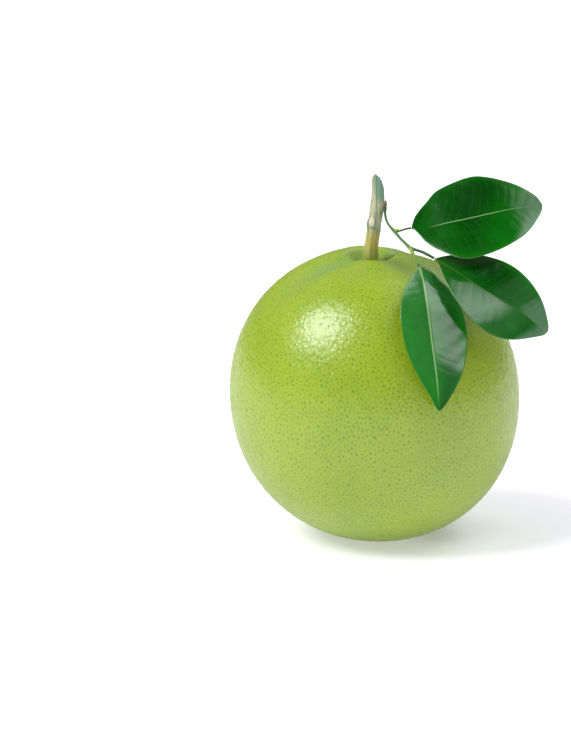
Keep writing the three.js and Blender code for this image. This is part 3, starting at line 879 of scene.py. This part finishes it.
def make_leaf(leaf):
    """A blade as two faces with a rounded margin, veins pressed into it and the rib standing out below."""
    curve = Curve(leaf["midrib"])
    share = np.linspace(0, 1, LEAF_ROWS + 1)[:, None]
    spread = np.linspace(-1, 1, LEAF_COLUMNS + 1)
    column = (np.sign(spread) * np.abs(spread) ** COLUMN_CROWDING)[None, :]
    out = np.abs(column)
    along = curve.along(share[:, 0], BLADE_SMOOTHING)
    facing = np.array(leaf["facing"][0]) + (np.array(leaf["facing"][1]) - leaf["facing"][0]) * share
    up = unit(facing - np.sum(facing * along, axis=1, keepdims=True) * along)
    aside = np.cross(along, up)
    width = np.where(column < 0, half_width(share, leaf["left"]), half_width(share, leaf["right"]))
    distance = out * width
    vein, relief = vein_relief(curve.length, share, column, distance)
    upper_rib = np.exp(-((distance / (leaf["rib_width"] * (1 - RIB_TAPER * share))) ** 2))
    lower_rib = MIDRIB_DEPTH * np.exp(-((distance / MIDRIB_HALF_WIDTH) ** 2)) * (1 - MIDRIB_TAPER * share)
    upper_relief = relief - VEIN_DEPTH * vein + RIB_RISE * upper_rib
    lower_relief = LOWER_RELIEF * upper_relief - RIB_GROOVE * upper_rib - lower_rib
    thickness = LEAF_THICKNESS + (LEAF_MARGIN_THICKNESS - LEAF_THICKNESS) * out**6
    lift = blade_lift(leaf, share, column, width)
    middle = curve.at(share[:, 0])[:, None] + aside[:, None] * (column * width)[..., None]
    upper = middle + up[:, None] * (lift + upper_relief + thickness / 2)[..., None]
    lower = middle + up[:, None] * (lift + lower_relief - thickness / 2)[..., None]
    points = np.concatenate([upper.reshape(-1, 3), lower.reshape(-1, 3)])

    def both(upper_values, lower_values):
        shape = (LEAF_ROWS + 1, LEAF_COLUMNS + 1)
        return np.concatenate([np.broadcast_to(v, shape).ravel() for v in (upper_values, lower_values)])

    # a patch of painted shade on the blade
    place = leaf["deep"]
    along_gap = (share - place["share"]) / place["reach"]
    deep = np.exp(-(along_gap**2) - ((column - place["across"]) / place["spread"]) ** 2)
    attributes = {
        "vein": both(vein, vein),
        "deep": both(deep, deep),
        "midrib": both(upper_rib, lower_rib / MIDRIB_DEPTH),
        "underside": both(0, 1),
        "out": both(out, out),
        "share": both(share, share),
    }
    piece = mesh_object(leaf["name"] + "_blade", points, blade_faces(), attributes)
    dress(piece, leaf_material(leaf), leaf["name"])


def leaf_material(leaf):
    """A waxy dark green upper side, a dull pale underside, and ribs of the leaf's own colour."""
    material, tree, shader = new_material(leaf["name"] + "_skin", LEAF_ROUGHNESS)
    shader.inputs["Specular IOR Level"].default_value = LEAF_SPECULAR
    clouds = pattern(tree, LEAF_CLOUDS)
    share, vein, midrib = attribute(tree, "share"), attribute(tree, "vein"), attribute(tree, "midrib")
    # greens that change from base to tip, as painted light and shade
    near_base = between(tree, clouds, leaf["base_greens"])
    near_tip = between(tree, clouds, leaf["tip_greens"])
    colour = mix(tree, ramp(tree, share, *LEAF_TURN_TO_TIP), near_base, near_tip)
    colour = tinted(tree, colour, pattern(tree, LEAF_FLECKS), LEAF_FLECK_TINT)
    # darkens the patch of painted shade
    deep_tint = dict(share=leaf["deep"]["depth"], colour=LEAF_PAINTED_SHADE_GREEN)
    colour = tinted(tree, colour, attribute(tree, "deep"), deep_tint)
    colour = tinted(tree, colour, vein, LEAF_VEIN_TINT)
    rib = ramp(tree, midrib, *RIB_LIMITS)
    for limits in (leaf["rib_shows"], leaf["rib_fades"]):
        rib = math_node(tree, "MULTIPLY", rib, ramp(tree, share, *limits))
    colour = tinted(tree, colour, rib, dict(share=RIB_SHARE, colour=leaf["rib_colour"]))
    under = between(tree, clouds, UNDERSIDE_GREENS)
    under = tinted(tree, under, midrib, UNDERSIDE_RIB_TINT)
    under = tinted(tree, under, vein, UNDERSIDE_VEIN_TINT)
    colour = mix(tree, attribute(tree, "underside"), colour, under)
    # painted light near the margins, then a paler rim
    for tint in EDGE_TINTS:
        colour = tinted(tree, colour, attribute(tree, "out"), tint)
    return coloured(material, colour)


def bark_relief(share, turn):
    """Height in mm of the ribs along the stalk and of the low rings round it."""
    waves = [w["height"] * np.sin(w["round"] * turn + w["along"] * share + w["shift"]) for w in BARK_WAVES]
    return sum(waves)


def cut_off(work, place, facing, slot):
    """Removes what lies beyond a plane and closes the cut with a fan of faces in one material slot."""
    everything = [*work.verts, *work.edges, *work.faces]
    cut = bmesh.ops.bisect_plane(work, geom=everything, plane_co=place, plane_no=facing, clear_outer=True)
    rim = [edge for edge in cut["geom_cut"] if isinstance(edge, bmesh.types.BMEdge)]
    for face in bmesh.ops.contextual_create(work, geom=rim)["faces"]:
        for piece in bmesh.ops.poke(work, faces=[face])["faces"]:
            piece.material_index = slot


def make_stalk():
    """The woody stalk: ribbed bark, two scars, and a smooth slanting cut."""
    path = [section["at"] for section in STALK_SECTIONS]
    radii = [section["radius"] for section in STALK_SECTIONS]
    points, faces, share = tube(path, radii, STALK_SIDES, STALK_STEPS, bark_relief)
    outwards = unit(points - Curve(path).at(share))
    for scar in SCARS:
        gap = points - np.array(scar["at"])
        gap[:, 2] *= SCAR_NARROWNESS
        near = np.exp(-(np.sum(gap**2, axis=1) / scar["reach"] ** 2))
        points += outwards * (scar["height"] * near)[:, None]
    work = bmesh.new()
    corners = [work.verts.new(point) for point in points]
    for face in faces:
        work.faces.new([corners[i] for i in face])
    foot = top_height(0) + GAP + CALYX_THICKNESS + GAP
    cut_off(work, CUT_POINT, CUT_FACES, 1)
    cut_off(work, (0, 0, foot), (0, 0, -1), 0)
    mesh = bpy.data.meshes.new("fruit_stalk")
    work.to_mesh(mesh)
    work.free()
    mesh.transform(Matrix.Scale(MM, 4))
    mesh.shade_smooth()
    mesh.set_sharp_from_angle(angle=math.radians(SHARP_ANGLE))
    piece = add_object("fruit_stalk", mesh)
    dress(piece, bark_material(), "stalk")
    piece.data.materials.append(cut_material())


def bark_material():
    """Striped grey-green bark, olive below its lower node and bluish towards the cut."""
    material, tree, _ = new_material("bark", BARK_ROUGHNESS)
    stripes = pattern(tree, BARK_STRIPES)
    colour = between(tree, stripes, BARK_COLOURS)
    colour = tinted(tree, colour, pattern(tree, BARK_PATCHES), BARK_PATCH_TINT)
    place = tree.nodes.new("ShaderNodeSeparateXYZ")
    tree.links.new(place_in_part(tree), place.inputs["Vector"])
    across, height = place.outputs["X"], place.outputs["Z"]
    colour = mix(tree, ramp(tree, height, *OLIVE_BELOW), colour, between(tree, stripes, OLIVES))
    teal = math_node(tree, "MULTIPLY", ramp(tree, height, *TEAL_ABOVE), ramp(tree, across, *TEAL_RIGHT_OF))
    colour = tinted(tree, colour, teal, TEAL_TINT)
    colour = tinted(tree, colour, height, FOOT_TINT)
    for spot in BARK_SPOTS:
        colour = tinted(tree, colour, blob(tree, spot["at"], spot["radii"]), spot)
    return coloured(material, colour)


def cut_material():
    material, tree, _ = new_material("cut_wood", CUT_ROUGHNESS)
    return coloured(material, between(tree, pattern(tree, CUT_GRAIN), CUT_COLOURS))


def make_shoot():
    """The green shoot with its leaf stalks and buds, in one piece with a colour at each point."""
    points, faces, colours = [], [], []

    def add(part, part_faces, part_colours):
        start = sum(len(earlier) for earlier in points)
        faces.extend([corner + start for corner in face] for face in part_faces)
        points.append(part)
        colours.append(part_colours)

    for branch in (SHOOT, *LEAF_STALKS):
        part, part_faces, share = tube(branch["path"], branch["radii"], BRANCH_SIDES, branch["steps"])
        first, last = np.array(branch["colours"])
        add(part, part_faces, first + (last - first) * share[:, None])
    for bud in BUDS:
        part, part_faces = bud_form(bud)
        add(part, part_faces, np.tile(bud["colour"], (len(part), 1)))
    piece = mesh_object("side_shoot", np.vstack(points), faces)
    layer = piece.data.attributes.new("tint", "FLOAT_COLOR", "POINT")
    tints = np.array([srgb(*colour) for colour in np.vstack(colours)], np.float32)
    layer.data.foreach_set("color", tints.ravel())
    dress(piece, shoot_material(), "shoot")


def bud_form(bud):
    """A pointed drop with overlapping scales."""
    share = np.linspace(0, 1, BUD_ROWS + 1)[:, None]
    turn = (2 * math.pi * np.arange(BUD_SIDES) / BUD_SIDES)[None, :]
    scales = BUD_SCALES["height"] * np.cos(BUD_SCALES["count"] * turn + BUD_SCALES["twist"] * share)
    radius = bud["radius"] * np.sin(math.pi * share**BUD_FULLNESS) * (1 + scales)
    radius[[0, -1]] = BUD_END_RADIUS
    along = unit(np.array(bud["towards"], float))
    first = unit(np.cross(along, BUD_ASIDE))
    second = np.cross(along, first)
    out = np.cos(turn)[..., None] * first + np.sin(turn)[..., None] * second
    points = np.array(bud["at"]) + out * radius[..., None] + (share * bud["length"])[..., None] * along
    faces = grid_faces(BUD_ROWS + 1, BUD_SIDES, closed=True).tolist()
    faces.append(list(range(BUD_SIDES))[::-1])
    faces.append(list(range(BUD_ROWS * BUD_SIDES, (BUD_ROWS + 1) * BUD_SIDES)))
    return points.reshape(-1, 3), faces


def shoot_material():
    """Streaked bark over the colours that the points carry."""
    material, tree, _ = new_material("young_bark", SHOOT_ROUGHNESS)
    tint = tree.nodes.new("ShaderNodeAttribute")
    tint.attribute_name = "tint"
    colour = tinted(tree, tint.outputs["Color"], pattern(tree, SHOOT_STREAKS), SHOOT_STREAK_TINT)
    return coloured(material, colour)


def make_calyx():
    """The five-lobed cup under the stalk, ribbed and dry at its edge."""
    share = np.linspace(0, 1, CALYX_RINGS + 1)[:, None]
    turn = (2 * math.pi * np.arange(CALYX_SEGMENTS) / CALYX_SEGMENTS)[None, :]
    lobe = 0.5 + 0.5 * np.cos(SEPALS * (turn - math.radians(SEPAL_TURN)))
    ragged = sum(wave["height"] * np.sin(wave["count"] * turn + wave["shift"]) for wave in RAGGED_WAVES)
    radius = share * (CALYX_NOTCH_RADIUS + SEPAL_LENGTH * lobe + ragged)
    lean = LEAN * top_height(0) / (2 * FRUIT_CENTRE_HEIGHT)
    thickness = CALYX_THICKNESS + (SEPAL_EDGE_THICKNESS - CALYX_THICKNESS) * share**2
    under = top_height(radius) + GAP
    wrinkle = WRINKLE_HEIGHT * share * np.cos(WRINKLES * SEPALS * turn) * np.sin(math.pi * share)
    layers = []
    for height in (under, under + thickness + wrinkle - EDGE_DROP * share):
        layers.append(np.stack([radius * np.cos(turn) - lean, radius * np.sin(turn), height + 0 * turn], -1))
    points = np.concatenate([layer.reshape(-1, 3) for layer in layers])
    per_layer = (CALYX_RINGS + 1) * CALYX_SEGMENTS
    bottom = grid_faces(CALYX_RINGS + 1, CALYX_SEGMENTS, closed=True)
    top = grid_faces(CALYX_RINGS + 1, CALYX_SEGMENTS, per_layer, closed=True, flip=True)
    rim = np.arange(CALYX_SEGMENTS) + CALYX_RINGS * CALYX_SEGMENTS
    after = np.roll(rim, -1)
    edge = np.stack([rim, rim + per_layer, after + per_layer, after], 1)
    edge_share = np.tile(np.repeat(share, CALYX_SEGMENTS), 2)
    piece = mesh_object("calyx_cup", points, np.concatenate([bottom, top, edge]), {"edge": edge_share})
    dress(piece, calyx_material(), "calyx")


def calyx_material():
    """Mottled olive, brown and dry towards the edge."""
    material, tree, _ = new_material("sepals", SEPAL_ROUGHNESS)
    mottle = pattern(tree, SEPAL_MOTTLE)
    green = between(tree, mottle, SEPAL_GREENS)
    dry = ramp(tree, attribute(tree, "edge"), *SEPAL_DRY_FROM)
    colour = mix(tree, dry, green, between(tree, mottle, SEPAL_DRY_COLOURS))
    return coloured(material, colour)


def make_camera():
    elevation = math.radians(CAMERA_ELEVATION)
    back = Vector((0, -math.cos(elevation), math.sin(elevation)))
    data = bpy.data.cameras.new("camera")
    camera = add_object("camera", data)
    camera.location = FRUIT_MIDDLE + back * CAMERA_DISTANCE
    right = (FRUIT_MIDDLE_PIXEL[0] - PHOTO_SIZE[0] / 2) / PIXELS_PER_TANGENT
    down = (FRUIT_MIDDLE_PIXEL[1] - PHOTO_SIZE[1] / 2) / PIXELS_PER_TANGENT
    looking = (-back).to_track_quat("-Z", "Y")
    # The fruit stands to the right of the picture's middle and below it, so the camera turns left and up.
    turn = Matrix.Rotation(math.atan(right), 4, "Y") @ Matrix.Rotation(math.atan(down), 4, "X")
    camera.rotation_euler = (looking.to_matrix().to_4x4() @ turn).to_euler()
    data.sensor_width = SENSOR_WIDTH
    data.lens = SENSOR_WIDTH * PIXELS_PER_TANGENT / max(PHOTO_SIZE)
    data.clip_start, data.clip_end = CAMERA_CLIP
    bpy.context.scene.camera = camera


def add_light(name, direction, strength, angle):
    """A broad soft light that looks at the fruit from a direction in the part's frame."""
    data = bpy.data.lights.new(name, "SUN")
    data.energy = strength
    data.angle = math.radians(angle)
    lamp = add_object(name, data)
    lamp.rotation_euler = (-Vector(direction)).to_track_quat("-Z", "Y").to_euler()


def make_world():
    """A studio with a dark ceiling, a bright window at the upper right, and a dim wall beside it."""
    world = bpy.data.worlds.new("world")
    world.use_nodes = True
    tree = world.node_tree
    direction = tree.nodes.new("ShaderNodeTexCoord").outputs["Generated"]
    split = tree.nodes.new("ShaderNodeSeparateXYZ")
    tree.links.new(direction, split.inputs["Vector"])
    across, away, height = split.outputs["X"], split.outputs["Y"], split.outputs["Z"]
    colour = mix(tree, ramp(tree, away, *BACKDROP), WORLD_CEILING, WORLD_BACKDROP)
    window = mix(tree, ramp(tree, away, *WINDOW_NEAR), WORLD_CEILING, WORLD_WINDOW)
    colour = mix(tree, ramp(tree, across, *WINDOW_START), colour, window)
    colour = mix(tree, ramp(tree, height, *HORIZON), WORLD_HORIZON, colour)
    wall = mix(tree, ramp(tree, height, *WALL_RISE), WORLD_RIGHT_LOW, WORLD_RIGHT_HIGH)
    colour = mix(tree, ramp(tree, across, *WINDOW_END), colour, wall)
    tree.links.new(colour, tree.nodes["Background"].inputs["Color"])
    bpy.context.scene.world = world


def floor_material():
    """A pale floor that glows: least where the shadow is darkest, and more the further from there."""
    material, tree, shader = new_material("floor", FLOOR_ROUGHNESS)
    shader.inputs["Base Color"].default_value = FLOOR_COLOUR
    shader.inputs["Specular IOR Level"].default_value = FLOOR_SPECULAR
    shader.inputs["Emission Color"].default_value = FLOOR_GLOW_TINT
    distance = tree.nodes.new("ShaderNodeVectorMath")
    distance.operation = "DISTANCE"
    tree.links.new(place_in_part(tree), distance.inputs[0])
    distance.inputs[1].default_value = SHADOW_MIDDLE
    beside = ramp(tree, distance.outputs["Value"], *SHADED_EDGE)
    far = ramp(tree, distance.outputs["Value"], *FAR_EDGE)
    glow = math_node(tree, "MULTIPLY", beside, FLOOR_GLOW - FLOOR_GLOW_SHADED)
    glow = math_node(tree, "ADD", glow, math_node(tree, "MULTIPLY", far, FLOOR_GLOW_FAR - FLOOR_GLOW))
    glow = math_node(tree, "ADD", glow, FLOOR_GLOW_SHADED)
    tree.links.new(glow, shader.inputs["Emission Strength"])
    return material


def make_stage():
    corners = [(x * FLOOR_REACH, y * FLOOR_REACH, 0) for x, y in ((-1, -1), (1, -1), (1, 1), (-1, 1))]
    floor = mesh_object("floor", corners, [(0, 1, 2, 3)])
    floor.data.materials.append(floor_material())
    make_world()
    add_light("key", KEY_DIRECTION, KEY_STRENGTH, KEY_ANGLE)
    bpy.context.scene.view_settings.view_transform = "Standard"


make_fruit()
for leaf in LEAVES:
    make_leaf(leaf)
make_stalk()
make_shoot()
make_calyx()
make_stage()
make_camera()
